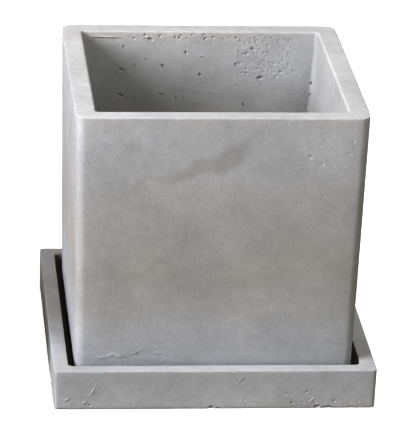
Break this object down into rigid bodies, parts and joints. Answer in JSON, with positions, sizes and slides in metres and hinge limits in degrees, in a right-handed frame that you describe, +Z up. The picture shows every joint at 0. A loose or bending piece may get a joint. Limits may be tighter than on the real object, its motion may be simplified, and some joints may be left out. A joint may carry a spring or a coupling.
{
  "type": "planter box",
  "caption": "Square hand-cast cement planter box for one small plant: a thick-walled pot with a drain hole that stands loose in a matching square saucer.",
  "frame": {"origin": "centre of the saucer's underside, on the surface the planter stands on", "axes": "+Z up through the middle of the pot, -Y towards the front face, +X to the right seen from the front"},
  "size_m": [0.1676, 0.1676, 0.1566],
  "materials": {
    "cement": "matt grey cast cement, unsealed, with small air holes"
  },
  "bodies": {
    "saucer": {"saucer": "cement"},
    "pot": {"pot": "cement"}
  },
  "joints": [
    {"name": "pot_lift", "type": "slide", "parent": "saucer", "child": "pot", "axis": [0, 0, 1], "range_m": [0, 0.06]}
  ]
}
